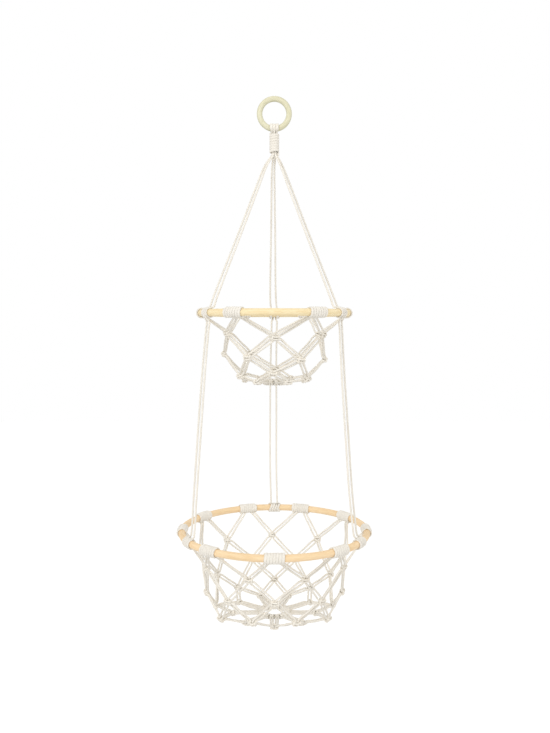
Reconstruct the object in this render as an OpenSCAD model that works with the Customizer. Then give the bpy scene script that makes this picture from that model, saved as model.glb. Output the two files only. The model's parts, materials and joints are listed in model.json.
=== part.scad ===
// Two-tier hanging fruit basket: a wooden ring, two wooden hoops and two knotted cotton nets.
// Millimetres, +Z up. The origin is the hook's seat, at the top of the hole in the wooden ring.
// The front is -Y. Angles round the basket are counted from the front, positive to the right.

/* [Cord] */
// Diameter of the cotton cord
cord_d = 3; // [2.6:0.1:3]
// Distance between the two strands of a pair in the nets
pair_gap = 4.6; // [4.2:0.1:5]
// Diameter of a strand where the gathering wrap squeezes it
squeezed_d = 2.7; // [2.4:0.1:2.7]

/* [Ring] */
// Outer diameter of the hanging ring
ring_od = 50; // [48:1:54]
// Thickness of the ring's wood
ring_thick = 8; // [7:0.5:8]
// Distance between the cord's bights on the ring
bight_gap = 5; // [3.5:0.5:5]

/* [Hoops] */
// Outer diameter of the upper hoop
upper_hoop_od = 220; // [210:1:240]
// Outer diameter of the lower hoop
lower_hoop_od = 280; // [270:1:300]
// Thickness of the hoops' wood
hoop_thick = 10; // [9:0.5:10]
// From the ring's centre down to the upper hoop
ring_to_upper = 283; // [250:1:320]
// From the upper hoop down to the lower hoop
tier_gap = 318; // [280:1:360]

/* [Suspension] */
// Angle of the left and right suspension pairs from the front
leg_angle = 60.5; // [58:0.5:64]
// Distance between the two strands of an upper pair where they reach the upper hoop
upper_leg_gap = 13; // [11:0.5:14]
// Distance between the two strands of a lower pair
lower_leg_gap = 8; // [7:0.5:9]
// Depth of the gathering wrap's top below the hook's seat
gather_top = 45.5; // [45:0.5:50]
// Turns of cord in the gathering wrap
gather_turns = 7; // [5:1:8]
// Turns of cord in a hitch round a hoop
hitch_turns = 4; // [3:1:4]

/* [Hoop wraps] */
// Turns of cord in a wrap that holds the net on a hoop
wrap_turns = 7; // [5:1:7]
// Distance between the turns of a winding
wind_pitch = 3.7; // [3.7:0.1:4]
// Distance between the turns of the gathering wrap
gather_pitch = 3.5; // [3.45:0.05:3.6]

/* [Upper net] */
// Knots in each row
upper_count = 6; // [6:1:6]
// Each knot row's radius, depth, lift at the front and back, turn in degrees and drop on the right
upper_rows = [[77, 31, -2.5, 1.5, 1.5], [73, 63, 0, 0, 4], [55, 89, 5, -2, 2], [43, 97, 0, -4, 0]];
// How far each wrap is turned from its even place round the hoop, in degrees
upper_wrap_offsets = [3, 0, 0, 0, 0, -1];
// From a wrap's middle to the pair of strands that leaves towards the front, and to the other
upper_exits = [8, 1];
// Radius of the cord ring that closes the base
upper_base_r = 13.5; // [12:0.5:16]
// Depth of that cord ring below the hoop
upper_base_depth = 100; // [98:1:104]

/* [Lower net] */
// Knots in each row
lower_count = 9; // [9:1:9]
// Each knot row's radius, depth, lift at the front and back, turn in degrees and drop on the right
lower_rows = [[110, 39, 0, 2, 0], [100, 79.5, 7.5, 0.5, 0], [88, 112, 7.5, 0, 0], [62, 120, 0, 0, 0]];
// How far each wrap is turned from its even place round the hoop, in degrees
lower_wrap_offsets = [0, 0, 8, 4, 1, -1, -4, -8, 0];
// From a wrap's middle to the pair of strands that leaves towards the front, and to the other
lower_exits = [9, 9];
// Radius of the cord ring that closes the base
lower_base_r = 19.5; // [18:0.5:24]
// Depth of that cord ring below the hoop
lower_base_depth = 123; // [120:1:126]

/* [Knots] */
// Radius of one of the two turns that make a square knot
knot_turn_r = 2.2; // [2:0.1:2.4]
// Radius of the bundle that a knot's turns go round
knot_core_r = 3; // [2.6:0.1:3.2]
// Distance of a knot's turns from its middle
knot_turn_shift = 2.1; // [1.9:0.1:2.2]
// Distance from a knot's middle at which its strands start
knot_trim = 5.4; // [5.2:0.1:6]

/* [Hidden] */

cord_r = cord_d / 2;
round_fn = 96;
cord_fn = 24;

// The ring stands in the XZ plane and hangs from the hook's seat at the origin
ring_r = (ring_od - ring_thick) / 2;
ring_z = ring_thick / 2 - ring_r;

// The bights turn round the ring's lowest point with room to swing
swing_z = ring_z - ring_r + 0.4;
bight_r = ring_thick / 2 + cord_r + 2.1;
bundle_r = 2.8;
loop_end_r = 3.15;
fan_r = 3.2;
gather_r = bundle_r + squeezed_d / 2 + cord_r + 0.2;
gather_bottom = gather_top + gather_turns * gather_pitch + cord_d;
core_end = gather_bottom + 0.6;
fan_top = core_end + 2.8;

upper_r = (upper_hoop_od - hoop_thick) / 2;
lower_r = (lower_hoop_od - hoop_thick) / 2;
upper_z = ring_z - ring_to_upper;
lower_z = upper_z - tier_gap;

// Windings lie on the hoop, a little off the wood
wind_r = hoop_thick / 2 + cord_r + 0.5;
wind_rings = 8;
gather_rings = 10;

// How far inside a hoop's centre line the suspension aims: at the upper hoop from above and
// from below, and at the lower hoop
upper_leg_inset = 4;
underside_inset = 1;
lower_leg_inset = 6;

// How far short of those points the strands stop, so that they can swing clear of the hitches
upper_cord_end = 7;
lower_cord_start = 10;
lower_cord_end = 8.7;

// The two strands of a pair leave a wrap this far on either side of the pair's middle
exit_half = 2.7;
exit_r = wind_r + cord_r + 0.3;
base_tube_r = 4;

upper_profile = concat([[upper_r, 0, 0, 0, 0]], upper_rows, [[upper_base_r, upper_base_depth, 0, 0, 0]]);
lower_profile = concat([[lower_r, 0, 0, 0, 0]], lower_rows, [[lower_base_r, lower_base_depth, 0, 0, 0]]);
upper_step = 360 / upper_count;
lower_step = 360 / lower_count;
upper_first = upper_step / 2;
lower_first = 0;
upper_wraps = [for (i = [0 : upper_count - 1]) upper_first + upper_step * i + upper_wrap_offsets[i]];
lower_wraps = [for (i = [0 : lower_count - 1]) lower_first + lower_step * i + lower_wrap_offsets[i]];
last_row = len(upper_rows);

cord_colour = "antiquewhite";
wood_colour = "burlywood";
ring_colour = "palegoldenrod";

// A point at a radius and an angle from the front
function polar(r, a, z) = [r * sin(a), -r * cos(a), z];
function unit(v) = v / norm(v);
function tangent(a) = [cos(a), sin(a), 0];
function arc_degrees(length, r) = length / r * 180 / PI;

// A point of a net: row 0 is the hoop, the rows of knots follow, and the base ring is last
function net_point(profile, z, row, a) =
    let (p = profile[row])
    polar(p[0], a + p[3], z - p[1] + p[2] * cos(2 * a) - p[4] * sin(a));

// The angle of knot i in a row: each row sits half a step round from the one above
function row_angle(first, step, row, i) = first + step * (i + (row % 2) / 2);

// The direction down the net at a knot, and the net's outward normal between two points
function down_the_net(profile, row, a) =
    unit(net_point(profile, 0, row + 1, a) - net_point(profile, 0, row - 1, a));
function net_normal(p, q) =
    unit(unit([p.x + q.x, p.y + q.y, 0]) * (p.z - q.z)
         + [0, 0, norm([q.x, q.y]) - norm([p.x, p.y])]);

// Each ring of a winding: the cord's centre, the direction away from the core, and the core's
function hoop_winding(r, z, a, turns) = [
    for (k = [0 : turns * wind_rings])
        let (t = k / wind_rings - turns / 2)
        let (at = a + arc_degrees(t * wind_pitch, r))
        let (out = polar(cos(360 * t), at, sin(360 * t)))
        [polar(r, at, z) + wind_r * out, out, tangent(at)]
];
gather_winding = [
    for (k = [0 : gather_turns * gather_rings])
        let (t = k / gather_rings)
        let (out = [cos(360 * t), sin(360 * t), 0])
        [[0, 0, -gather_bottom + cord_r + t * gather_pitch] + gather_r * out, out, [0, 0, 1]]
];

// The least distance between a winding's turns, measured between its own points
function least_gap(rings, per_turn) = min([
    for (i = [0 : len(rings) - 1])
        for (j = [i + per_turn / 2 : len(rings) - 1])
            norm(rings[i][0] - rings[j][0])
]) - cord_d;

echo(str("least gap in an upper wrap: ", least_gap(hoop_winding(upper_r, 0, 0, wrap_turns), wind_rings)));
echo(str("least gap in a lower wrap: ", least_gap(hoop_winding(lower_r, 0, 0, wrap_turns), wind_rings)));
echo(str("least gap in an upper hitch: ", least_gap(hoop_winding(upper_r, 0, 0, hitch_turns), wind_rings)));
echo(str("least gap in a lower hitch: ", least_gap(hoop_winding(lower_r, 0, 0, hitch_turns), wind_rings)));
echo(str("least gap in the gathering wrap: ", least_gap(gather_winding, gather_rings)));

// Turns the Z axis to point along a direction
module point_along(v) {
    rotate([0, acos(v.z / norm(v)), atan2(v.y, v.x)])
        children();
}

// A straight strand of cord from p to q
module strand(p, q, d = cord_d) {
    translate(p)
        point_along(q - p)
            cylinder(h = norm(q - p), d = d, $fn = cord_fn);
}

// How far from knot p its pair towards q starts, so that it clears the pairs between p and others
function clear_trim(p, q, others) = max(concat([knot_trim], [
    for (other = others)
        let (half = acos(unit(q - p) * unit(other - p)) / 2)
        (cord_r + 0.15 + pair_gap / 2 * cos(half)) / sin(half)
]));

// Two strands side by side between two knots, each end held back from its knot's middle
module strand_pair(p, q, p_trim, q_trim) {
    along = unit(q - p);
    side = pair_gap / 2 * unit(cross(along, net_normal(p, q)));
    for (s = [-1, 1])
        strand(p + p_trim * along + s * side, q - q_trim * along + s * side);
}

// One unbroken tube of cord through the rings of a winding
module winding(rings) {
    last = len(rings) - 1;
    points = [
        for (ring = rings)
            each [for (v = [ring[1], ring[2], -ring[1], -ring[2]]) ring[0] + cord_r * v]
    ];
    sides = [
        for (i = [0 : last - 1])
            for (j = [0 : 3])
                let (a = 4 * i + j)
                let (b = 4 * i + (j + 1) % 4)
                each [[a, b, b + 4], [a, b + 4, a + 4]]
    ];
    a = 4 * last;
    ends = [[0, 2, 1], [0, 3, 2], [a, a + 1, a + 2], [a, a + 2, a + 3]];
    polyhedron(points = points, faces = concat(sides, ends));
}

module wooden_torus(r, thick) {
    rotate_extrude($fn = round_fn)
        translate([r, 0])
            circle(d = thick, $fn = cord_fn * 2);
}

// A square knot: two turns of cord round the strands that pass through
module knot(p, down) {
    translate(p)
        point_along(down)
            rotate_extrude($fn = cord_fn) {
                translate([0, -knot_turn_shift - knot_turn_r])
                    square([knot_core_r, 2 * (knot_turn_shift + knot_turn_r)]);
                for (s = [-1, 1])
                    translate([knot_core_r, s * knot_turn_shift])
                        circle(r = knot_turn_r, $fn = cord_fn);
            }
}

module knot_row(profile, z, first, step, count, row) {
    for (i = [0 : count - 1]) {
        a = row_angle(first, step, row, i);
        knot(net_point(profile, z, row, a), down_the_net(profile, row, a));
    }
}

// The angle at which the pair on one side, -1 or 1, of the wrap at angle a leaves the hoop
function exit_angle(r, a, side, exits) =
    let (to_front = (side < 0) == (a < 180))
    a + arc_degrees(side * exits[to_front ? 0 : 1], r);

// Strands from the hoop's wraps down to the first row of knots
module top_strands(profile, z, first, step, wraps, exits) {
    count = len(wraps);
    r = profile[0][0];
    lean = unit([profile[1][0] - r, -profile[1][1]]);
    for (i = [0 : count - 1])
        for (side = [-1, 1]) {
            a = exit_angle(r, wraps[i], side, exits);
            next_a = exit_angle(r, wraps[(i + side + count) % count], -side, exits);
            nominal = row_angle(first, step, 0, i);
            knot_p = net_point(profile, z, 1, nominal + side * step / 2);
            start = polar(r, a, z);
            along = unit(knot_p - start);
            across = pair_gap / 2 * unit(cross(along, net_normal(start, knot_p)));
            trim = clear_trim(knot_p, start, [polar(r, next_a, z), net_point(profile, z, 2, nominal)]);
            for (s = [-1, 1]) {
                at = a - arc_degrees(s * exit_half, r);
                strand(polar(r + exit_r * lean.x, at, z + exit_r * lean.y),
                       knot_p - trim * along + s * across);
            }
        }
}

// Strands from one row of knots to the next
module row_strands(profile, z, first, step, count, row) {
    for (i = [0 : count - 1])
        for (side = [-1, 1]) {
            a = row_angle(first, step, row, i);
            half = side * step / 2;
            p = net_point(profile, z, row, a);
            q = net_point(profile, z, row + 1, a + half);
            beside_p = net_point(profile, z, row + 1, a - half);
            above_p = net_point(profile, z, row - 1, a + half);
            beside_q = net_point(profile, z, row, a + 2 * half);
            below_q = net_point(profile, z, row + 2, a);
            p_trim = clear_trim(p, q, [beside_p, above_p]);
            q_trim = clear_trim(q, p, [beside_q, below_q]);
            strand_pair(p, q, p_trim, q_trim);
        }
}

// Strands from the last row of knots in to the cord ring at the base
module base_strands(profile, z, first, step, count) {
    spread = cord_d + 0.2;
    half = 1.75;
    base = profile[last_row + 1];
    for (i = [0 : count - 1])
        for (side = [-1, 1])
            for (s = [-1, 1]) {
                nominal = row_angle(first, step, last_row, i);
                a = nominal + profile[last_row][3];
                knot_p = net_point(profile, z, last_row, nominal);
                inward = unit(polar(base[0], a, z - base[1]) - knot_p);
                at = a + side * step / 4;
                strand(knot_p + (knot_trim - 0.4) * inward + spread * (side + s / 2) * tangent(a),
                       polar(base[0] + base_tube_r - 0.4, at, z - base[1]) + s * half * tangent(at));
            }
}

module hanging_ring() {
    color(ring_colour)
        translate([0, 0, ring_z])
            rotate([90, 0, 0])
                wooden_torus(ring_r, ring_thick);
}

// The suspension cords folded over the ring, and their strands drawn in to the bundle
module ring_loops() {
    color(cord_colour)
        for (i = [-1 : 1]) {
            x = i * bight_gap;
            translate([x, 0, swing_z])
                rotate([90, 0, 90])
                    rotate_extrude(angle = 180, $fn = round_fn)
                        translate([bight_r, 0])
                            circle(d = cord_d, $fn = cord_fn);
            for (s = [-1, 1]) {
                start = [x, s * bight_r, swing_z];
                translate(start)
                    sphere(d = cord_d + 0.3, $fn = cord_fn);
                strand(start, concat(bundle_point(loop_end_r, i, s), 0.3 - gather_top));
            }
        }
}

// Where the strand of bight i, in front (-1) or behind (1), lies in a bundle of six
function bundle_point(r, i, s) = r * [sin(60 * i), s * cos(60 * i)];

// The six strands inside the gathering wrap, which turn a little to face their hoop
module gathering_core() {
    color(cord_colour)
        for (i = [-1 : 1])
            for (s = [-1, 1]) {
                top = bundle_point(bundle_r, i, s);
                turn = 30;
                bottom = [top.x * cos(turn) - top.y * sin(turn), top.x * sin(turn) + top.y * cos(turn)];
                strand(concat(top, -gather_top - 0.1), concat(bottom, -core_end), squeezed_d);
            }
}

module gathering_wrap() {
    color(cord_colour)
        winding(gather_winding);
}

// A pair of strands from the gathering wrap to the upper hoop
module upper_cord(a) {
    color(cord_colour)
        for (s = [-1, 1]) {
            top = polar(fan_r, a + 30 * s, -fan_top);
            at_hoop = polar(upper_r - upper_leg_inset, a, upper_z) + s * upper_leg_gap / 2 * tangent(a);
            strand(top, at_hoop - unit(at_hoop - top) * upper_cord_end);
        }
}

// A pair of strands from the upper hoop to the lower hoop
module lower_cord(a) {
    top = polar(upper_r - underside_inset, a, upper_z);
    bottom = polar(lower_r - lower_leg_inset, a, lower_z);
    slope = (bottom - top) / tier_gap;
    color(cord_colour)
        for (s = [-1, 1]) {
            side = s * lower_leg_gap / 2 * tangent(a);
            strand(top + lower_cord_start * slope + side, bottom - lower_cord_end * slope + side);
        }
}

module upper_hoop() {
    color(wood_colour)
        translate([0, 0, upper_z])
            wooden_torus(upper_r, hoop_thick);
}

module lower_hoop() {
    color(wood_colour)
        translate([0, 0, lower_z])
            wooden_torus(lower_r, hoop_thick);
}

module hoop_wrap(r, z, a) {
    color(cord_colour)
        winding(hoop_winding(r, z, a, wrap_turns));
}

// The turns with which a suspension pair holds a hoop
module hitch(r, z, a) {
    color(cord_colour)
        winding(hoop_winding(r, z, a, hitch_turns));
}

module upper_wrap(i) {
    hoop_wrap(upper_r, upper_z, upper_wraps[i - 1]);
}

module lower_wrap(i) {
    hoop_wrap(lower_r, lower_z, lower_wraps[i - 1]);
}

module net_strands(profile, z, first, step, wraps, exits, row) {
    count = len(wraps);
    color(cord_colour) {
        if (row == 0)
            top_strands(profile, z, first, step, wraps, exits);
        else if (row == last_row)
            base_strands(profile, z, first, step, count);
        else
            row_strands(profile, z, first, step, count, row);
    }
}

module upper_net_strands(k) {
    net_strands(upper_profile, upper_z, upper_first, upper_step, upper_wraps, upper_exits, k - 1);
}

module lower_net_strands(k) {
    net_strands(lower_profile, lower_z, lower_first, lower_step, lower_wraps, lower_exits, k - 1);
}

module upper_net_knots(row) {
    color(cord_colour)
        knot_row(upper_profile, upper_z, upper_first, upper_step, upper_count, row);
}

module lower_net_knots(row) {
    color(cord_colour)
        knot_row(lower_profile, lower_z, lower_first, lower_step, lower_count, row);
}

// The ring of cord that the net starts from, with the strands looped over it
module upper_net_base() {
    color(cord_colour)
        translate([0, 0, upper_z - upper_base_depth])
            wooden_torus(upper_base_r, 2 * base_tube_r);
}

module lower_net_base() {
    color(cord_colour)
        translate([0, 0, lower_z - lower_base_depth])
            wooden_torus(lower_base_r, 2 * base_tube_r);
}

hanging_ring();
ring_loops();
gathering_core();
gathering_wrap();
upper_cord(-leg_angle);  // upper_cord_left
upper_cord(leg_angle);  // upper_cord_right
upper_cord(180);  // upper_cord_back
upper_hoop();
hitch(upper_r, upper_z, -leg_angle);  // upper_hitch_left
hitch(upper_r, upper_z, leg_angle);  // upper_hitch_right
hitch(upper_r, upper_z, 180);  // upper_hitch_back
for (i = [1 : upper_count]) upper_wrap(i);
for (k = [1 : 5]) upper_net_strands(k);
for (k = [1 : 4]) upper_net_knots(k);
upper_net_base();
lower_cord(-leg_angle);  // lower_cord_left
lower_cord(leg_angle);  // lower_cord_right
lower_cord(180);  // lower_cord_back
lower_hoop();
hitch(lower_r, lower_z, -leg_angle);  // lower_hitch_left
hitch(lower_r, lower_z, leg_angle);  // lower_hitch_right
hitch(lower_r, lower_z, 180);  // lower_hitch_back
for (i = [1 : lower_count]) lower_wrap(i);
for (k = [1 : 5]) lower_net_strands(k);
for (k = [1 : 4]) lower_net_knots(k);
lower_net_base();
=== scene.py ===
"""A two-tier hanging fruit basket: cotton cord nets on wooden hoops, hung from a wooden ring.

Lengths are in millimetres until a mesh is made. Angles round the basket are counted from the
front, positive to the right, as in the part's source.
"""
import json
import math

import bpy
import numpy as np
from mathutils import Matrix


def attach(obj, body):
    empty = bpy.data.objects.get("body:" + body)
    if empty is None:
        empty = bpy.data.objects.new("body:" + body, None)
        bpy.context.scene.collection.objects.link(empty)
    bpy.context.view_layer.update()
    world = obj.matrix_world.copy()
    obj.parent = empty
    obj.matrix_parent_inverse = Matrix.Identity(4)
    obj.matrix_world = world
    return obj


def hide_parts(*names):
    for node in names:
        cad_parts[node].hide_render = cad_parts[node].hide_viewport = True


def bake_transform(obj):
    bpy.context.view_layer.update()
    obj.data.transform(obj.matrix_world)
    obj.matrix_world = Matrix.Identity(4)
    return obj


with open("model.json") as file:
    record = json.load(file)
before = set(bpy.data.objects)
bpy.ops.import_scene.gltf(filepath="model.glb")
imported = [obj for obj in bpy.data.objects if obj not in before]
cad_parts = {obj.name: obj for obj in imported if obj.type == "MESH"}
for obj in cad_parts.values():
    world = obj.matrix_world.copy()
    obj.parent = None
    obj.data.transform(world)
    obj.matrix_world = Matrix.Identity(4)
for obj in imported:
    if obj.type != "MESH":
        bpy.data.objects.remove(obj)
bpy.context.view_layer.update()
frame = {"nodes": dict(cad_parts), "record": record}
MM = 0.001
rng = np.random.default_rng(7)

# sizes, as in the part's source
CORD_R = 1.5
PAIR_GAP = 4.6
UPPER_LEG_GAP = 13.0
LOWER_LEG_GAP = 8.0
RING_Z = -17.0
SWING_Z = -37.6
BUNDLE_R = 2.8
FAN_R = 3.2
GATHER_TOP = 45.5
GATHER_BOTTOM = 73.0
GATHER_PITCH = 3.5
CORE_END = 73.6
FAN_TOP = 76.4
HOOP_R = 5.0
LEG_ANGLE = 60.5
UPPER_LEG_INSET = 4.0
UNDERSIDE_INSET = 1.0
LOWER_LEG_INSET = 6.0
WRAP_TURNS = 7
WIND_PITCH = 3.7
EXIT_HALF = 2.7
EXIT_R = 8.8
KNOT_TRIM = 5.4
KNOT_LEAVE = KNOT_TRIM - 0.4
LEAVE_SPREAD = 3.2
BASE_REACH = 3.6
BASE_HALF = 1.75

# distances that the source has a little wider than the photograph shows them
BIGHT_GAP = 4.15
BACK_LEG_GAP = 9.5

# The first wrap's angle, how far each wrap is turned from its even place, and the distances from a
# wrap's middle to the pair that leaves it towards the front and to the other one. Each knot row is
# its radius, depth, lift at the front and back, turn in degrees and drop on the right. The base is
# the radius and depth of its ring of cord.
TIERS = {
    "upper": {
        "r": 105.0, "z": -300.0, "count": 6, "first": 30.0,
        "offsets": (3, 0, 0, 0, 0, -1),
        "exits": (8, 1),
        "rows": [(77, 31, -2.5, 1.5, 1.5), (73, 63, 0, 0, 4), (55, 89, 5, -2, 2), (43, 97, 0, -4, 0)],
        "base": (13.5, 100),
    },
    "lower": {
        "r": 135.0, "z": -618.0, "count": 9, "first": 0.0,
        "offsets": (0, 0, 8, 4, 1, -1, -4, -8, 0),
        "exits": (9, 9),
        "rows": [(110, 39, 0, 2, 0), (100, 79.5, 7.5, 0.5, 0), (88, 112, 7.5, 0, 0), (62, 120, 0, 0, 0)],
        "base": (19.5, 123),
    },
}
LAST_ROW = 4
for tier in TIERS.values():
    tier["step"] = 360 / tier["count"]
    tier["profile"] = [(tier["r"], 0, 0, 0, 0)] + tier["rows"] + [(*tier["base"], 0, 0, 0)]
    tier["wraps"] = [tier["first"] + tier["step"] * i + offset for i, offset in enumerate(tier["offsets"])]


# camera, placed so that the hoops and the ring fall where the photograph has them
PICTURE_WIDTH = 550
PICTURE_HEIGHT = 733
AXIS_PIXEL = 274.32      # where the basket's axis falls across the picture
FOCAL_PIXELS = 746.7
CAMERA_DISTANCE = 1.0827
CAMERA_Z = -0.3148
CAMERA_PITCH = 3.31
camera_data = bpy.data.cameras.new("camera")
camera_data.sensor_width = 36
camera_data.lens = FOCAL_PIXELS / PICTURE_HEIGHT * camera_data.sensor_width
camera_data.shift_x = (PICTURE_WIDTH / 2 - AXIS_PIXEL) / PICTURE_HEIGHT
camera_data.clip_end = 50
camera = bpy.data.objects.new("camera", camera_data)
camera.location = (0, -CAMERA_DISTANCE, CAMERA_Z)
camera.rotation_euler = (math.radians(90 - CAMERA_PITCH), 0, 0)
bpy.context.scene.collection.objects.link(camera)
bpy.context.scene.camera = camera
bpy.context.scene.view_settings.view_transform = "Standard"


# points and directions
def polar(r, a, z):
    a = math.radians(a)
    return np.array([r * math.sin(a), -r * math.cos(a), z])


def tangent(a):
    a = math.radians(a)
    return np.array([math.cos(a), math.sin(a), 0.0])


def unit(v):
    return v / np.linalg.norm(v)


def arc_degrees(length, r):
    return math.degrees(length / r)


def beside_hoop(tier, a, q, turn, rho):
    """A point q along the hoop from angle a and rho from its middle; turn 0 is the inner side, 90 the top."""
    r = tier["r"]
    t = math.radians(turn)
    return polar(r - rho * math.cos(t), a + arc_degrees(q, r), tier["z"] + rho * math.sin(t))


def net_point(tier, row, a):
    """A point of a net: row 0 is the hoop, the rows of knots follow, and the base ring is last."""
    r, depth, lift, turn, drop = tier["profile"][row]
    rise = lift * math.cos(2 * math.radians(a)) - drop * math.sin(math.radians(a))
    return polar(r, a + turn, tier["z"] - depth + rise)


def net_normal(p, q):
    """The net's outward direction between two of its points."""
    flat = unit(np.array([p[0] + q[0], p[1] + q[1], 0.0]))
    return unit(flat * (p[2] - q[2])
                + np.array([0, 0, np.linalg.norm(q[:2]) - np.linalg.norm(p[:2])]))


# twisted cotton cord
SIDES = 12
LAY = 11.0               # length of one full turn of the cord's three plies
TEXTURE_LENGTH = 10      # length over which the texture coordinate along the cord grows by 1
RING_STEP = 0.95         # a tube's rings of points are about this far apart, or closer
PLY_SHAPE = np.array([1.0, 0.965, 0.87, 0.965] * 3)      # three plies, with a groove after each
START_SIDE = (0.31, 0.17, 0.93)      # a direction in which no cord starts
RING_CORD_Z = -60.0      # above this height tight cord is on the ring, and below it on a hoop


class Tubes:
    """The lengths of cord that make up one piece."""

    def __init__(self):
        self.points, self.quads, self.caps, self.uvs, self.cap_uvs = [], [], [], [], []
        self.count = 0

    def add(self, rings, lengths):
        """Adds one length of cord, given its rings of points and the length of cord up to each."""
        n = len(rings)
        if n < 2:
            return
        index = self.count + np.arange(n * SIDES).reshape(n, SIDES)
        right = np.roll(index, -1, axis=1)
        self.quads.append(np.stack([index[:-1], right[:-1], right[1:], index[1:]], -1).reshape(-1, 4))
        u = np.arange(SIDES) / SIDES
        grid = np.empty((n - 1, SIDES, 4, 2))
        grid[..., 0, 0] = grid[..., 3, 0] = u
        grid[..., 1, 0] = grid[..., 2, 0] = u + 1 / SIDES
        grid[..., 0, 1] = grid[..., 1, 1] = lengths[:-1, None] / TEXTURE_LENGTH
        grid[..., 2, 1] = grid[..., 3, 1] = lengths[1:, None] / TEXTURE_LENGTH
        self.uvs.append(grid.reshape(-1, 2))
        self.points.append(rings.reshape(-1, 3))
        self.count += n * SIDES
        # the caps have points of their own, so that their edges stay sharp
        for ring, flip in ((rings[0], True), (rings[-1], False)):
            corner = self.count + np.arange(SIDES)
            self.caps.append(corner[::-1] if flip else corner)
            self.points.append(ring)
            self.count += SIDES
            self.cap_uvs.append(np.tile([[0.5, lengths[0] / TEXTURE_LENGTH]], (SIDES, 1)))

    def make(self, name, material):
        mesh = bpy.data.meshes.new(name)
        points = np.concatenate(self.points) * MM
        quads = np.concatenate(self.quads)
        corners = np.concatenate([quads.ravel(), *self.caps])
        starts = np.concatenate([np.arange(len(quads)) * 4,
                                 len(quads) * 4 + np.arange(len(self.caps)) * SIDES])
        mesh.vertices.add(len(points))
        mesh.vertices.foreach_set("co", points.ravel())
        mesh.loops.add(len(corners))
        mesh.loops.foreach_set("vertex_index", corners.astype(np.int32))
        mesh.polygons.add(len(starts))
        mesh.polygons.foreach_set("loop_start", starts.astype(np.int32))
        smooth = np.arange(len(starts)) < len(quads)
        mesh.polygons.foreach_set("use_smooth", smooth)
        mesh.update(calc_edges=True)
        layer = mesh.uv_layers.new(name="lay")
        layer.data.foreach_set("uv", np.concatenate(self.uvs + self.cap_uvs).ravel())
        mesh.materials.append(material)
        made = bpy.data.objects.new(name, mesh)
        bpy.context.scene.collection.objects.link(made)
        return made


def curve_through(points):
    """A centripetal Catmull-Rom curve: its samples, and the index at which each point lies."""
    points = np.array(points, float)
    points = np.vstack([2 * points[0] - points[1], points, 2 * points[-1] - points[-2]])
    samples, at = [], [0]
    for i in range(1, len(points) - 2):
        p = points[i - 1:i + 3]
        gaps = np.maximum(np.sqrt(np.linalg.norm(np.diff(p, axis=0), axis=1)), 1e-3)
        t = np.concatenate([[0], np.cumsum(gaps)])
        n = max(1, int(math.ceil(np.linalg.norm(p[2] - p[1]) / RING_STEP)))
        x = (t[1] + (t[2] - t[1]) * np.arange(n) / n)[:, None]
        a1 = (t[1] - x) / (t[1] - t[0]) * p[0] + (x - t[0]) / (t[1] - t[0]) * p[1]
        a2 = (t[2] - x) / (t[2] - t[1]) * p[1] + (x - t[1]) / (t[2] - t[1]) * p[2]
        a3 = (t[3] - x) / (t[3] - t[2]) * p[2] + (x - t[2]) / (t[3] - t[2]) * p[3]
        b1 = (t[2] - x) / (t[2] - t[0]) * a1 + (x - t[0]) / (t[2] - t[0]) * a2
        b2 = (t[3] - x) / (t[3] - t[1]) * a2 + (x - t[1]) / (t[3] - t[1]) * a3
        samples.append((t[2] - x) / (t[2] - t[1]) * b1 + (x - t[1]) / (t[2] - t[1]) * b2)
        at.append(at[-1] + n)
    samples.append(points[-2:-1])
    return np.concatenate(samples), at


def frames_along(path):
    """Tangents, and normals carried along the path without turning about it."""
    tangents = np.gradient(path, axis=0)
    tangents /= np.linalg.norm(tangents, axis=1)[:, None]
    normals = [unit(np.cross(tangents[0], START_SIDE))]
    for t in tangents[1:]:
        normals.append(unit(normals[-1] - t * (normals[-1] @ t)))
    return tangents, np.array(normals)


def along_hoop(p):
    """The direction in which tight cord at p spreads: along a hoop, or across the bights on the ring."""
    if p[2] > RING_CORD_Z:
        return np.array([1.0, 0, 0])
    return tangent(math.degrees(math.atan2(p[0], -p[1])))


def upward(_):
    """The direction in which the gathering wrap's cord spreads, at any point."""
    return np.array([0, 0, 1.0])


def lay_cord(pieces, route, spread_along=along_hoop, plies=1.0):
    """Sweeps cord along a route of (point, piece, radius, width).

    Each stretch goes to the piece named at its start. A tightly wound turn spreads to width times
    its round section, in the direction that spread_along gives. The plies are cut to their full
    depth times plies, as they show less where the cord is pulled tight.
    """
    path, at = curve_through([point for point, *_ in route])
    radii = np.interp(np.arange(len(path)), at, [r for _, _, r, _ in route])
    widths = np.interp(np.arange(len(path)), at, [w for *_, w in route])
    lengths = np.concatenate([[0], np.cumsum(np.linalg.norm(np.diff(path, axis=0), axis=1))])
    tangents, normals = frames_along(path)
    side = np.cross(tangents, normals)
    angles = 2 * math.pi * (np.arange(SIDES) / SIDES + (lengths / LAY)[:, None])
    section = radii[:, None] * (1 - plies * (1 - PLY_SHAPE))
    offsets = (np.cos(angles)[..., None] * normals[:, None]
               + np.sin(angles)[..., None] * side[:, None]) * section[..., None]
    spread = np.array([spread_along(p) for p in path])
    offsets += (widths - 1)[:, None, None] * (offsets @ spread[..., None]) * spread[:, None]
    rings = path[:, None] + offsets
    start = 0
    for i in range(1, len(route)):
        if i == len(route) - 1 or route[i][1] != route[start][1]:
            a, b = at[start], at[i]
            pieces.setdefault(route[start][1], Tubes()).add(rings[a:b + 1], lengths[a:b + 1])
            start = i


def backwards(route):
    """The route from its far end. A stretch takes its piece at its start, so the pieces move by one point."""
    return [(route[k][0], route[max(k - 1, 0)][1], *route[k][2:]) for k in range(len(route))][::-1]


tubes = {}


# suspension: three cords folded over the ring, each holding a hoop with its turns on the way down
TIGHT_R = CORD_R * 0.92
SQUEEZED_R = CORD_R * 0.9
LEG_SIDES = {"left": -LEG_ANGLE, "right": LEG_ANGLE, "back": 180.0}
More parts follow.
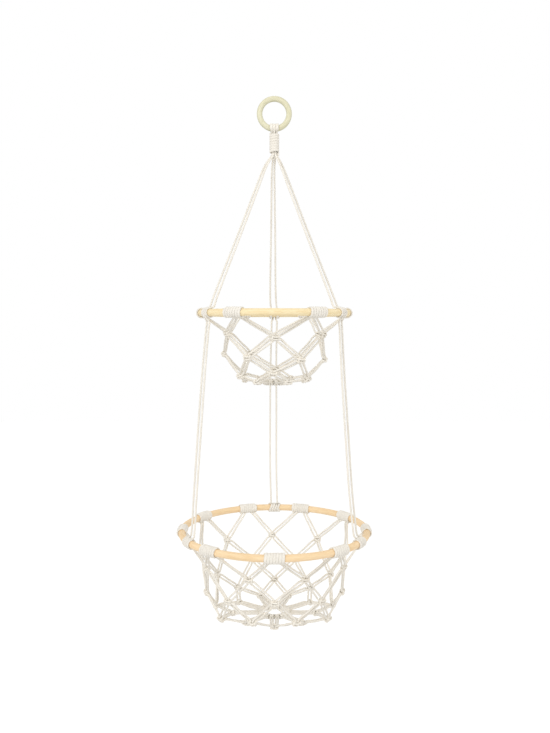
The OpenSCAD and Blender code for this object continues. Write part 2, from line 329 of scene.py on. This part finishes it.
# the side of the hoops and the strand of that pair to which each end of the three cords goes
ENDS = {
    (-1, -1): ("left", 1), (-1, 1): ("left", -1),
    (0, -1): ("right", -1), (1, -1): ("right", 1),
    (1, 1): ("back", -1), (0, 1): ("back", 1),
}

# the bights, pulled tight, lie flat on the wood, and are wide enough to press against each other
BIGHT_R = 5.5
OUTER_BIGHT_RISE = 0.25
BIGHT_WIDTH = BIGHT_GAP / 2.6
BIGHT_ANGLES = range(-12, 193, 17)
# the bundle under them: depth, turn about the axis, distance from it and the cord's radius
BUNDLE = ((GATHER_TOP - 2.0, 0, 3.3, CORD_R), (GATHER_TOP + 2, 0, BUNDLE_R, SQUEEZED_R),
          (60.0, 14, BUNDLE_R, SQUEEZED_R), (CORE_END - 1.2, 29, BUNDLE_R, SQUEEZED_R))

# The photograph has the left upper pair further out and the back one further left than straight
# cord would run. Both are given at the strand's top, 20 down it, 20 from its end and 9 from its end.
LEFT_LEG_OUT = (0, 2.4, 2.2, 1.6)
BACK_LEG_ASIDE = (0.2, 1.8, 1.8, 0.5)
# It has the lower pairs further left between the hoops, and they turn out a little to meet their
# hitches. Both are given as distances down the strand and the shifts there.
LOWER_LEG_ASIDE = ((12, 90, 250, 307), (0, 1.7, 1.7, 0.4))
LOWER_LEG_OUT = ((250, 298, 307), (0, 0.7, 1.3))
LOWER_LEG_STOPS = (12.0, 22.0, 70.0, 159.0, 250.0, 298.0, 307.0)

# Hitches. A point beside a hoop is its distance along the hoop from the pair's angle, its turn
# about the hoop's wood and its distance from the wood's middle.
HITCH_WIDTH = 1.45
HITCH_R = HOOP_R + 1.25
CROSS_FROM = 290         # the turn at which a strand starts to cross to its next place
CROSS_OVER = 140         # and how far it turns while it crosses
UPPER_ARRIVE = {"left": (6.4, 62, 8.0), "right": (6.4, 62, 8.0), "back": (5.2, 62, 8.0)}
UPPER_PLACES = (6.1, 2.05)
UPPER_LAST = 230
UPPER_LEAVE = ((2.1, 234, 7.2), (2.5, 252, 8.9))
# the turns of both strands wind the same way, and each end is tucked in under cord beside it
LOWER_HITCH = {
    1: {"arrive": ((5.6, 62, 9.8), (6.7, 76, 8.0)), "places": (7.9, 3.95, 0.0), "last": 410, "then": -3.95,
        "tuck": (-3.9, 423, 6.3)},
    -1: {"arrive": ((-5.1, 62, 9.9), (-4.4, 75, 8.3)), "places": (-3.95, -7.9), "last": 350, "then": -7.9,
         "tuck": (-6.8, 362, 6.7)},
}


def bight(i):
    """The bend of cord i through the ring's hole, over the lowest part of its wood."""
    r = BIGHT_R + OUTER_BIGHT_RISE * abs(i)
    made = []
    for angle in BIGHT_ANGLES:
        t = math.radians(angle)
        point = np.array([i * BIGHT_GAP, -r * math.cos(t), SWING_Z + r * math.sin(t)])
        made.append((point, "ring_loops", CORD_R, BIGHT_WIDTH))
    return made


def bundle_point(r, i, s, turn):
    """Where the front (-1) or back (1) strand of cord i lies in the bundle."""
    x = r * math.sin(math.radians(60 * i))
    y = s * r * math.cos(math.radians(60 * i))
    c = math.cos(math.radians(turn))
    n = math.sin(math.radians(turn))
    return np.array([x * c - y * n, x * n + y * c])


def upper_leg(where, s):
    """One strand of an upper pair, from below the gathering wrap to just above the hoop."""
    tier, a = TIERS["upper"], LEG_SIDES[where]
    gap = BACK_LEG_GAP if where == "back" else UPPER_LEG_GAP
    top = polar(FAN_R, a + 30 * s, -FAN_TOP)
    at_hoop = polar(tier["r"] - UPPER_LEG_INSET, a, tier["z"]) + s * gap / 2 * tangent(a)
    along = unit(at_hoop - top)
    length = np.linalg.norm(at_hoop - top)
    # The strands spring out and apart below the wrap, which squeezes them, and come straight
    # further down: the distance down the strand, and how far it stands outward and apart there.
    spring = [(0, 0.7, 0.2), (7, 1.9, 0.9), (18, 2.6, 1.6), (45, 2.3, 1.9),
              (0.45 * length, 1.2, 1.0), (length - 22, 0.1, 0), (length - 9, 0, 0)]
    stops = [0, 20, length - 20, length - 9]
    made = []
    for t, out, apart in spring:
        sideways = s * apart * tangent(a)
        if where == "left":
            out += np.interp(t, stops, LEFT_LEG_OUT)
        if where == "back":
            sideways = -np.interp(t, stops, BACK_LEG_ASIDE) * tangent(0)
        made.append(top + t * along + polar(out, a, 0) + sideways)
    return made


def lower_leg(where, s):
    """One strand of a lower pair, from under the upper hoop to just above the lower one."""
    up, low, a = TIERS["upper"], TIERS["lower"], LEG_SIDES[where]
    top = polar(up["r"] - UNDERSIDE_INSET, a, up["z"])
    bottom = polar(low["r"] - LOWER_LEG_INSET, a, low["z"])
    slope = (bottom - top) / (up["z"] - low["z"])
    made = []
    for t in LOWER_LEG_STOPS:
        # the pair opens by 1 on each side over its first 150
        half_gap = LOWER_LEG_GAP / 2 + min(t / 150, 1)
        out = np.interp(t, *LOWER_LEG_OUT)
        aside = np.interp(t, *LOWER_LEG_ASIDE)
        made.append(top + t * slope + s * half_gap * tangent(a) + polar(out, a, 0) - np.array([aside, 0, 0]))
    return made


def turns_round(tier, a, places, last, then):
    """Turns over a hoop's top, down its outside and up its inner side, one at each place along it.

    Each crosses smoothly to the next place as it comes up. The last stops at the angle last, on its
    way to the place then.
    """
    made = []
    for k, q in enumerate(places):
        is_last = k + 1 == len(places)
        following = then if is_last else places[k + 1]
        for turn in range(90, last if is_last else 450, 30):
            part = min(max((turn - CROSS_FROM) / CROSS_OVER, 0), 1)
            crossed = q + (following - q) * part * part * (3 - 2 * part)
            made.append(beside_hoop(tier, a, crossed, turn, HITCH_R))
    return made


def suspension_half(i, s):
    """From the bight of cord i down its front (-1) or back (1) strand to the lower hoop."""
    where, pick = ENDS[i, s]
    a = LEG_SIDES[where]
    up, low = TIERS["upper"], TIERS["lower"]
    route = []
    for depth, turn, r, radius in BUNDLE:
        piece = "ring_loops" if depth < GATHER_TOP else "gathering_core"
        route.append((np.append(bundle_point(r, i, s, turn), -depth), piece, radius, 1))
    route += [(p, "upper_cord_" + where, CORD_R, 1) for p in upper_leg(where, pick)]

    piece = "upper_hitch_" + where
    q, turn, rho = UPPER_ARRIVE[where]
    route.append((beside_hoop(up, a, pick * q, turn, rho), piece, CORD_R, 1))
    places = [pick * q for q in UPPER_PLACES]
    turned = turns_round(up, a, places, UPPER_LAST, places[-1])
    route += [(p, piece, TIGHT_R, HITCH_WIDTH) for p in turned]
    route += [(beside_hoop(up, a, pick * q, turn, rho), piece, CORD_R, 1) for q, turn, rho in UPPER_LEAVE]
    route += [(p, "lower_cord_" + where, CORD_R, 1) for p in lower_leg(where, pick)]

    piece = "lower_hitch_" + where
    hitch = LOWER_HITCH[pick]
    turned = turns_round(low, a, hitch["places"], hitch["last"], hitch["then"])
    route += [(beside_hoop(low, a, *place), piece, CORD_R, 1) for place in hitch["arrive"]]
    route += [(p, piece, TIGHT_R, HITCH_WIDTH) for p in turned]
    route.append((beside_hoop(low, a, *hitch["tuck"]), piece, TIGHT_R, 1))
    return route


for i in (-1, 0, 1):
    lay_cord(tubes, backwards(suspension_half(i, -1)) + bight(i) + suspension_half(i, 1))


# wraps
WRAP_STEPS = 10      # points of the route in one turn
WRAP_EXTRA = 2       # points at each end that slip under the outer turn
TUCK_START = 0.1     # part of a turn before the end at which the cord starts to slip under
WRAP_TUCK = 2.2      # how far it moves back under the wrap, for each turn that it goes on
WRAP_R = CORD_R * 0.85
WRAP_WIDTH = 1.6
WRAP_WAVER = 0.07    # how far the turns stray in and out
WAVER_RATE = 1.7
GATHER_STEPS = 12
GATHER_TURNS = 7.5
GATHER_R = BUNDLE_R + CORD_R * 1.95
GATHER_WIDTH = 1.55
# the winding's lower end leaves its lowest turn at the right and hangs down below it
GATHER_TAIL = ((5.9, -1.9, -GATHER_BOTTOM - 3.0), (5.5, -1.6, -GATHER_BOTTOM - 0.2))


def hoop_wrap(tier, name, a, turns):
    """A tight winding on a hoop, whose two ends slip under its outer turns."""
    half, r = turns / 2, tier["r"]
    route = []
    for k in range(-WRAP_EXTRA, turns * WRAP_STEPS + WRAP_EXTRA + 1):
        t = k / WRAP_STEPS - half
        wound = min(max(t, -half), half)
        tuck = max(0, abs(t) - half + TUCK_START) * WRAP_TUCK
        at = a + arc_degrees(wound * WIND_PITCH - math.copysign(tuck, t), r)
        rho = HOOP_R + WRAP_R + WRAP_WAVER * math.sin(WAVER_RATE * k)
        out = polar(math.cos(2 * math.pi * t), at, math.sin(2 * math.pi * t))
        route.append((polar(r, at, tier["z"]) + rho * out, name, TIGHT_R, WRAP_WIDTH))
    lay_cord(tubes, route, plies=0.55)


def gathering_wrap():
    """The winding round the bundle of strands, from the bottom up."""
    route = [(np.array(point), "gathering_wrap", TIGHT_R, 1) for point in GATHER_TAIL]
    for k in range(int(GATHER_TURNS * GATHER_STEPS) + 1):
        angle = 2 * math.pi * k / GATHER_STEPS
        z = -GATHER_BOTTOM + CORD_R + k / GATHER_STEPS * GATHER_PITCH
        point = np.array([GATHER_R * math.cos(angle), GATHER_R * math.sin(angle), z])
        route.append((point, "gathering_wrap", TIGHT_R, GATHER_WIDTH))
    lay_cord(tubes, route, upward, plies=0.5)


for key, tier in TIERS.items():
    for i, a in enumerate(tier["wraps"]):
        hoop_wrap(tier, f"{key}_wrap_{i + 1}", a, WRAP_TURNS)
gathering_wrap()


# Nets. A strand's points in a square knot are given as right, down and out from its middle. The
# inner two strands run straight through it, and the outer two are tied round them. FILLER is the
# right one of the inner two, and the left one mirrors it.
KNOT_R = CORD_R * 0.93
BASE_LOOP_R = CORD_R * 0.95
WORKER_LEFT = [(-4.7, -1.9, 0.3), (-3.0, -1.9, 2.0), (0, -1.7, 3.05), (3.0, -1.5, 2.0), (4.4, -0.8, 0.2),
               (4.6, 0.6, -0.2), (3.2, 1.6, 1.9), (0, 1.9, 3.05), (-3.0, 2.1, 2.0), (-4.6, 2.5, 0.4)]
WORKER_RIGHT = [(4.6, -2.6, 2.0), (4.6, -1.0, 2.9), (4.0, -0.2, 0.6), (2.4, -0.7, -2.1), (0, -1.6, -2.95),
                (-2.4, -2.3, -2.0), (-3.7, -2.9, 0.2), (-4.5, -2.0, 2.5), (-4.7, 0.0, 2.0), (-4.5, 1.8, 2.8),
                (-3.7, 3.0, 0.2), (-2.3, 2.2, -2.2), (0, 1.5, -2.95), (2.6, 1.0, -1.8), (3.9, 0.4, 0.6),
                (4.6, 1.6, 2.5), (4.6, 3.0, 1.6)]
FILLER = [(1.45, -3.4, 0), (1.4, 0, 0.1), (1.45, 3.4, 0)]
# one side of a loop on the base ring: along the ring, outward and up from the middle of its cord
BASE_LOOP = ((1.7, 2.9, -1.5), (1.75, 0, -3.0), (1.8, -2.15, -2.15), (1.8, -3.0, 0), (1.8, -2.15, 2.15),
             (1.75, 0, 3.0), (1.5, 2.6, 2.7))
BAR_OUT = 4.0            # where the loop goes over to the other strand, from the same middle
BAR_UP = 2.3
WRAP_DEPTH = 6.2         # how far below the hoop's middle a strand starts, under the wrap's turns
WRAP_INWARD = 2          # and how far from its exit towards the wrap's middle
STRAND_WAVER = 0.25      # how far the middle of a strand strays from a straight line
STRAND_CLEARANCE = 0.15


def knot_points(tier, row, a, left, worker):
    """One strand's points in the knot at a, which it enters from the left or the right."""
    p = net_point(tier, row, a)
    down = unit(net_point(tier, row + 1, a) - net_point(tier, row - 1, a))
    right = tangent(a + tier["profile"][row][3])
    out = np.cross(down, right)
    if worker:
        chosen = WORKER_LEFT if left else WORKER_RIGHT
    else:
        chosen = [(-u if left else u, v, w) for u, v, w in FILLER]
    return [p + u * right + v * down + w * out for u, v, w in chosen]


def clear_trim(p, q, others):
    """How far from the knot at p the strands to q start, to be clear of the strands to the others."""
    halves = [math.acos(unit(q - p) @ unit(other - p)) / 2 for other in others]
    reach = CORD_R + STRAND_CLEARANCE
    return max([KNOT_TRIM] + [(reach + PAIR_GAP / 2 * math.cos(h)) / math.sin(h) for h in halves])


def exit_angle(tier, i, side):
    """Where the pair on one side, -1 or 1, of wrap i leaves the hoop."""
    a = tier["wraps"][i % tier["count"]]
    to_front = (side < 0) == (a < 180)
    return a + arc_degrees(side * tier["exits"][0 if to_front else 1], tier["r"])


def strand_ends(tier, row, i, side, s):
    """The ends of a strand between row and the next, as in the part's source. i counts a row's places."""
    step = tier["step"]
    a = tier["first"] + step * (i + (row % 2) / 2)
    half = side * step / 2
    if row == 0:
        knot = net_point(tier, 1, a + half)
        r, z = tier["r"], tier["z"]
        lean = unit(np.array([tier["rows"][0][0] - r, -tier["rows"][0][1]]))
        leave = exit_angle(tier, i, side)
        start = polar(r, leave, z)
        along = unit(knot - start)
        across = PAIR_GAP / 2 * unit(np.cross(along, net_normal(start, knot)))
        other_start = polar(r, exit_angle(tier, i + side, -side), z)
        trim = clear_trim(knot, start, [other_start, net_point(tier, 2, a)])
        at = leave - arc_degrees(s * EXIT_HALF, r)
        return polar(r + EXIT_R * lean[0], at, z + EXIT_R * lean[1]), knot - trim * along + s * across
    if row == LAST_ROW:
        knot = net_point(tier, LAST_ROW, a)
        a += tier["profile"][LAST_ROW][3]
        r, depth = tier["base"]
        inward = unit(polar(r, a, tier["z"] - depth) - knot)
        at = a + side * step / 4
        return (knot + KNOT_LEAVE * inward + LEAVE_SPREAD * (side + s / 2) * tangent(a),
                polar(r + BASE_REACH, at, tier["z"] - depth) + s * BASE_HALF * tangent(at))
    p, q = net_point(tier, row, a), net_point(tier, row + 1, a + half)
    p_trim = clear_trim(p, q, [net_point(tier, row + 1, a - half), net_point(tier, row - 1, a + half)])
    q_trim = clear_trim(q, p, [net_point(tier, row, a + 2 * half), net_point(tier, row + 2, a)])
    along = unit(q - p)
    across = PAIR_GAP / 2 * s * unit(np.cross(along, net_normal(p, q)))
    return p + p_trim * along + across, q - q_trim * along + across


def net_half(key, tier, i, side0, s):
    """One strand's way down: from inside wrap i, zigzag through a knot of each row, to the base ring.

    It also gives the point outside the base ring at which the loop goes over to the other strand.
    """
    step = tier["step"]
    a0 = tier["first"] + step * i
    side = side0
    start, end = strand_ends(tier, 0, i, side, s)
    at = exit_angle(tier, i, side) - arc_degrees(WRAP_INWARD * side + s * EXIT_HALF, tier["r"])
    route = [(polar(tier["r"], at, tier["z"] - WRAP_DEPTH), f"{key}_net_strands_1", CORD_R, 1)]
    for row in range(1, LAST_ROW + 1):
        strand, knot = f"{key}_net_strands_{row}", f"{key}_net_knots_{row}"
        middle = (start + end) / 2 + rng.normal(0, STRAND_WAVER, 3)
        route += [(start, strand, CORD_R, 1), (middle, strand, CORD_R, 1), (end, knot, CORD_R, 1)]
        a = a0 + (side0 * step / 2 if row % 2 else 0)
        worker = s == side
        route += [(p, knot, KNOT_R, 1) for p in knot_points(tier, row, a, side > 0, worker)]
        side = -side
        if row == LAST_ROW:
            # below the last knot the strands that were tied round it lie on the outside
            s = side if worker else -side
        start, end = strand_ends(tier, row, i - 1 if row % 2 and side0 < 0 else i, side, s)
    strand, base = f"{key}_net_strands_5", f"{key}_net_base"
    route += [(start, strand, CORD_R, 1), ((start + end) / 2, strand, CORD_R, 1), (end, base, CORD_R, 1)]
    at = a0 + tier["profile"][LAST_ROW][3] + side * step / 4
    r, depth = tier["base"]
    centre = polar(r, at, tier["z"] - depth)
    out, along = polar(1, at, 0), tangent(at)
    for u, o, z in BASE_LOOP:
        route.append((centre + s * u * along + o * out + np.array([0, 0, z]), base, BASE_LOOP_R, 1))
    return route, centre + BAR_OUT * out + np.array([0, 0, BAR_UP])


for key, tier in TIERS.items():
    base = f"{key}_net_base"
    for i in range(tier["count"]):
        for side in (-1, 1):
            one, bar = net_half(key, tier, i, side, 1)
            two, _ = net_half(key, tier, i, side, -1)
            lay_cord(tubes, one + [(bar, base, BASE_LOOP_R, 1)] + backwards(two))
    r, depth = tier["base"]
    # the base ring's cord overlaps itself by 10 degrees
    lay_cord(tubes, [(polar(r, t, tier["z"] - depth), base, CORD_R, 1) for t in range(0, 371, 10)])


# materials
class NodeTree:
    """The nodes of a material or of the world, with short ways to add them and to join them."""

    def __init__(self, owner):
        owner.use_nodes = True
        self.nodes, self.links = owner.node_tree.nodes, owner.node_tree.links

    def feed(self, node, inputs):
        """Links each named input to the output that is given for it, or else sets it to the value."""
        for name, value in inputs.items():
            if isinstance(value, bpy.types.NodeSocket):
                self.links.new(value, node.inputs[name])
            else:
                node.inputs[name].default_value = value
        return node

    def add(self, kind, inputs):
        return self.feed(self.nodes.new(kind), inputs)

    def coordinates(self):
        return self.nodes.new("ShaderNodeTexCoord").outputs

    def noise(self, vector, scale, detail, rough=0.5):
        inputs = {"Vector": vector, "Scale": scale, "Detail": detail, "Roughness": rough}
        return self.add("ShaderNodeTexNoise", inputs).outputs["Fac"]

    def ramp(self, value, *stops):
        n = self.add("ShaderNodeValToRGB", {"Fac": value})
        for element, (position, colour) in zip(n.color_ramp.elements, stops):
            element.position = position
            element.color = (*colour, 1)
        return n.outputs["Color"]

    def math(self, operation, *values):
        n = self.nodes.new("ShaderNodeMath")
        n.operation = operation
        return self.feed(n, dict(enumerate(values))).outputs[0]

    def multiply(self, a, b, factor=1.0):
        """One colour times another, as far as the factor says."""
        n = self.nodes.new("ShaderNodeMix")
        n.data_type = "RGBA"
        n.blend_type = "MULTIPLY"
        # for colours, this node's inputs are its factor and its numbers 6 and 7, and its output is 2
        return self.feed(n, {0: factor, 6: a, 7: b}).outputs[2]

    def bump(self, height, strength, distance):
        inputs = {"Height": height, "Strength": strength, "Distance": distance}
        return self.add("ShaderNodeBump", inputs).outputs["Normal"]


def start_material(name):
    material = bpy.data.materials.new(name)
    tree = NodeTree(material)
    return material, tree, tree.nodes["Principled BSDF"]


def cotton(name, light, dark, fibre_scale):
    """Twisted cotton: fibres that run with the plies, a little fuzz, and slow changes of shade."""
    material, tree, shader = start_material(name)
    coords = tree.coordinates()
    # the fibres are drawn out along the cord
    fibre_space = {"Vector": coords["UV"], "Scale": (fibre_scale, fibre_scale * 0.12, 1)}
    mapping = tree.add("ShaderNodeMapping", fibre_space)
    fibre = tree.noise(mapping.outputs["Vector"], 5.0, 4.0, 0.6)
    fuzz = tree.noise(coords["Object"], 2600, 2.0, 0.6)
    shade = tree.noise(coords["Object"], 45, 2.0)
    base = tree.ramp(shade, (0.35, dark), (0.65, light))
    streak = tree.ramp(fibre, (0.3, (0.95, 0.935, 0.91)), (0.62, (1, 1, 1)))
    height = tree.math("ADD", fibre, tree.math("MULTIPLY", fuzz, 0.5))
    tree.feed(shader, {
        "Base Color": tree.multiply(base, streak, 0.75),
        "Normal": tree.bump(height, 0.4, 0.00016),
        "Roughness": 0.9,
        "Specular IOR Level": 0.25,
        "Sheen Weight": 0.25,
        "Sheen Roughness": 0.5,
    })
    return material


GRAIN_ACROSS = 420      # how fast the grain changes across the wood, in each metre
RING_HALF = 0.004       # half the thickness of the ring's wood, in metres


def wood(name, pale, warm, centre_z, upright, grain):
    """Pale wood whose grain runs round a hoop, or round the upright ring."""
    material, tree, shader = start_material(name)
    place = tree.coordinates()["Object"]
    x, y, z = tree.add("ShaderNodeSeparateXYZ", {"Vector": place}).outputs
    level = tree.math("SUBTRACT", z, centre_z)
    a, b, c = (x, level, y) if upright else (x, y, level)
    angle = tree.math("ARCTAN2", a, b)
    squares = tree.math("ADD", tree.math("MULTIPLY", a, a), tree.math("MULTIPLY", b, b))
    radius = tree.math("SQRT", squares)
    along = tree.add("ShaderNodeCombineXYZ", {
        "X": tree.math("MULTIPLY", angle, grain),
        "Y": tree.math("MULTIPLY", radius, GRAIN_ACROSS),
        "Z": tree.math("MULTIPLY", c, GRAIN_ACROSS),
    }).outputs[0]
    lines = tree.noise(along, 1.4, 5.0, 0.62)
    broad = tree.noise(place, 16, 2.0)
    fine = tree.noise(along, 6.0, 3.0, 0.6)
    base = tree.ramp(lines, (0.3, warm), (0.62, pale))
    tint = tree.ramp(broad, (0.3, (0.93, 0.90, 0.84)), (0.7, (1, 1, 1)))
    colour = tree.multiply(base, tint)
    if upright:
        # painted shade: the turned ring is made greyer at its inner and outer rims, which catch less light
        # than its two faces
        depth = tree.math("MULTIPLY", tree.math("ABSOLUTE", y), 1 / RING_HALF)
        painted_rim_shade = tree.ramp(depth, (0.1, (0.83, 0.85, 0.84)), (0.85, (1, 1, 1)))
        colour = tree.multiply(colour, painted_rim_shade)
    rough = tree.add("ShaderNodeMapRange", {"Value": lines, "To Min": 0.42, "To Max": 0.6})
    tree.feed(shader, {
        "Base Color": colour,
        "Normal": tree.bump(tree.math("ADD", lines, fine), 0.35, 0.0002),
        "Roughness": rough.outputs["Result"],
    })
    return material


cord_cotton = cotton("twisted_cotton", (0.945, 0.91, 0.835), (0.915, 0.87, 0.785), 2.0)
# the wraps and hitches get a slightly darker copy of the same cotton: painted shade for their tightly wound
# turns
shaded_wound_cotton = cotton("shaded_wound_cotton", (0.915, 0.88, 0.81), (0.885, 0.845, 0.77), 2.0)
woods = {
    "hanging_ring": wood("ring_wood", (0.80, 0.775, 0.585), (0.68, 0.66, 0.45), RING_Z * MM, True, 2.0),
    "upper_hoop": wood("upper_hoop_wood", (0.98, 0.85, 0.56), (0.89, 0.71, 0.40),
                       TIERS["upper"]["z"] * MM, False, 5.0),
    "lower_hoop": wood("lower_hoop_wood", (0.985, 0.77, 0.50), (0.90, 0.65, 0.37),
                       TIERS["lower"]["z"] * MM, False, 6.0),
}
for node, material in woods.items():
    mesh = frame["nodes"][node].data
    mesh.materials.clear()
    mesh.materials.append(material)
    mesh.polygons.foreach_set("use_smooth", np.ones(len(mesh.polygons), bool))


# pieces and the bodies that they move with; the upper and lower leg cords are left where they are made, with
# no body
body_of = {n: b for b, members in frame["record"]["behaviour"]["bodies"].items() for n in members}
LEG_JOINTS = {"lower_cord_left": "leg_left_sway", "lower_cord_right": "leg_right_sway",
              "lower_cord_back": "lower_sway"}


for node, tube in sorted(tubes.items()):
    wound = "wrap" in node or "hitch" in node
    piece = tube.make(node + "_cotton", shaded_wound_cotton if wound else cord_cotton)
    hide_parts(node)
    body = body_of[node]
    if node.startswith("upper_cord_"):
        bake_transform(piece)
    elif node in LEG_JOINTS:
        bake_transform(piece)
    else:
        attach(piece, body)


# floor, background and light
FLOOR_Z = -1.25
FLOOR_HALF = 6
LIGHT_AIM = (0, 0, -0.4)
corners = [(x * FLOOR_HALF, y * FLOOR_HALF, FLOOR_Z) for x, y in ((-1, -1), (1, -1), (1, 1), (-1, 1))]
floor_mesh = bpy.data.meshes.new("floor")
floor_mesh.from_pydata(corners, [], [(0, 1, 2, 3)])
floor = bpy.data.objects.new("floor", floor_mesh)
bpy.context.scene.collection.objects.link(floor)


def straight_rays(tree):
    """1 for rays that look at a surface directly, in a mirror or through glass."""
    path = tree.nodes.new("ShaderNodeLightPath").outputs
    seen = tree.math("MAXIMUM", path["Is Camera Ray"], path["Is Glossy Ray"])
    return tree.math("MAXIMUM", seen, path["Is Transmission Ray"])


floor_material, tree, shader = start_material("floor")
tree.feed(shader, {
    "Base Color": (0.9, 0.9, 0.9, 1),
    "Roughness": 0.9,
    "Emission Color": (1, 1, 1, 1),
    "Emission Strength": tree.math("MULTIPLY", straight_rays(tree), 0.35),
})
floor_mesh.materials.append(floor_material)

# the world lights the basket with a soft warm white, and looks plain white behind it
world = bpy.data.worlds.new("world")
bpy.context.scene.world = world
tree = NodeTree(world)
tree.nodes.clear()
lit = tree.add("ShaderNodeBackground", {"Color": (1.0, 0.99, 0.975, 1), "Strength": 0.72})
seen = tree.add("ShaderNodeBackground", {"Color": (1, 1, 1, 1)})
mixed = tree.add("ShaderNodeMixShader", {0: straight_rays(tree), 1: lit.outputs[0], 2: seen.outputs[0]})
tree.add("ShaderNodeOutputWorld", {"Surface": mixed.outputs[0]})


def area_light(name, place, size, watts):
    data = bpy.data.lights.new(name, "AREA")
    data.size = size
    data.energy = watts
    lamp = bpy.data.objects.new(name, data)
    lamp.location = place
    direction = np.array(LIGHT_AIM) - np.array(place)
    lamp.rotation_euler = (math.atan2(np.hypot(direction[0], direction[1]), -direction[2]), 0,
                           math.atan2(direction[1], direction[0]) - math.pi / 2)
    bpy.context.scene.collection.objects.link(lamp)


area_light("key", (-1.3, -1.8, 0.9), 1.4, 22)
area_light("fill", (1.6, -1.2, 0.2), 1.6, 8)
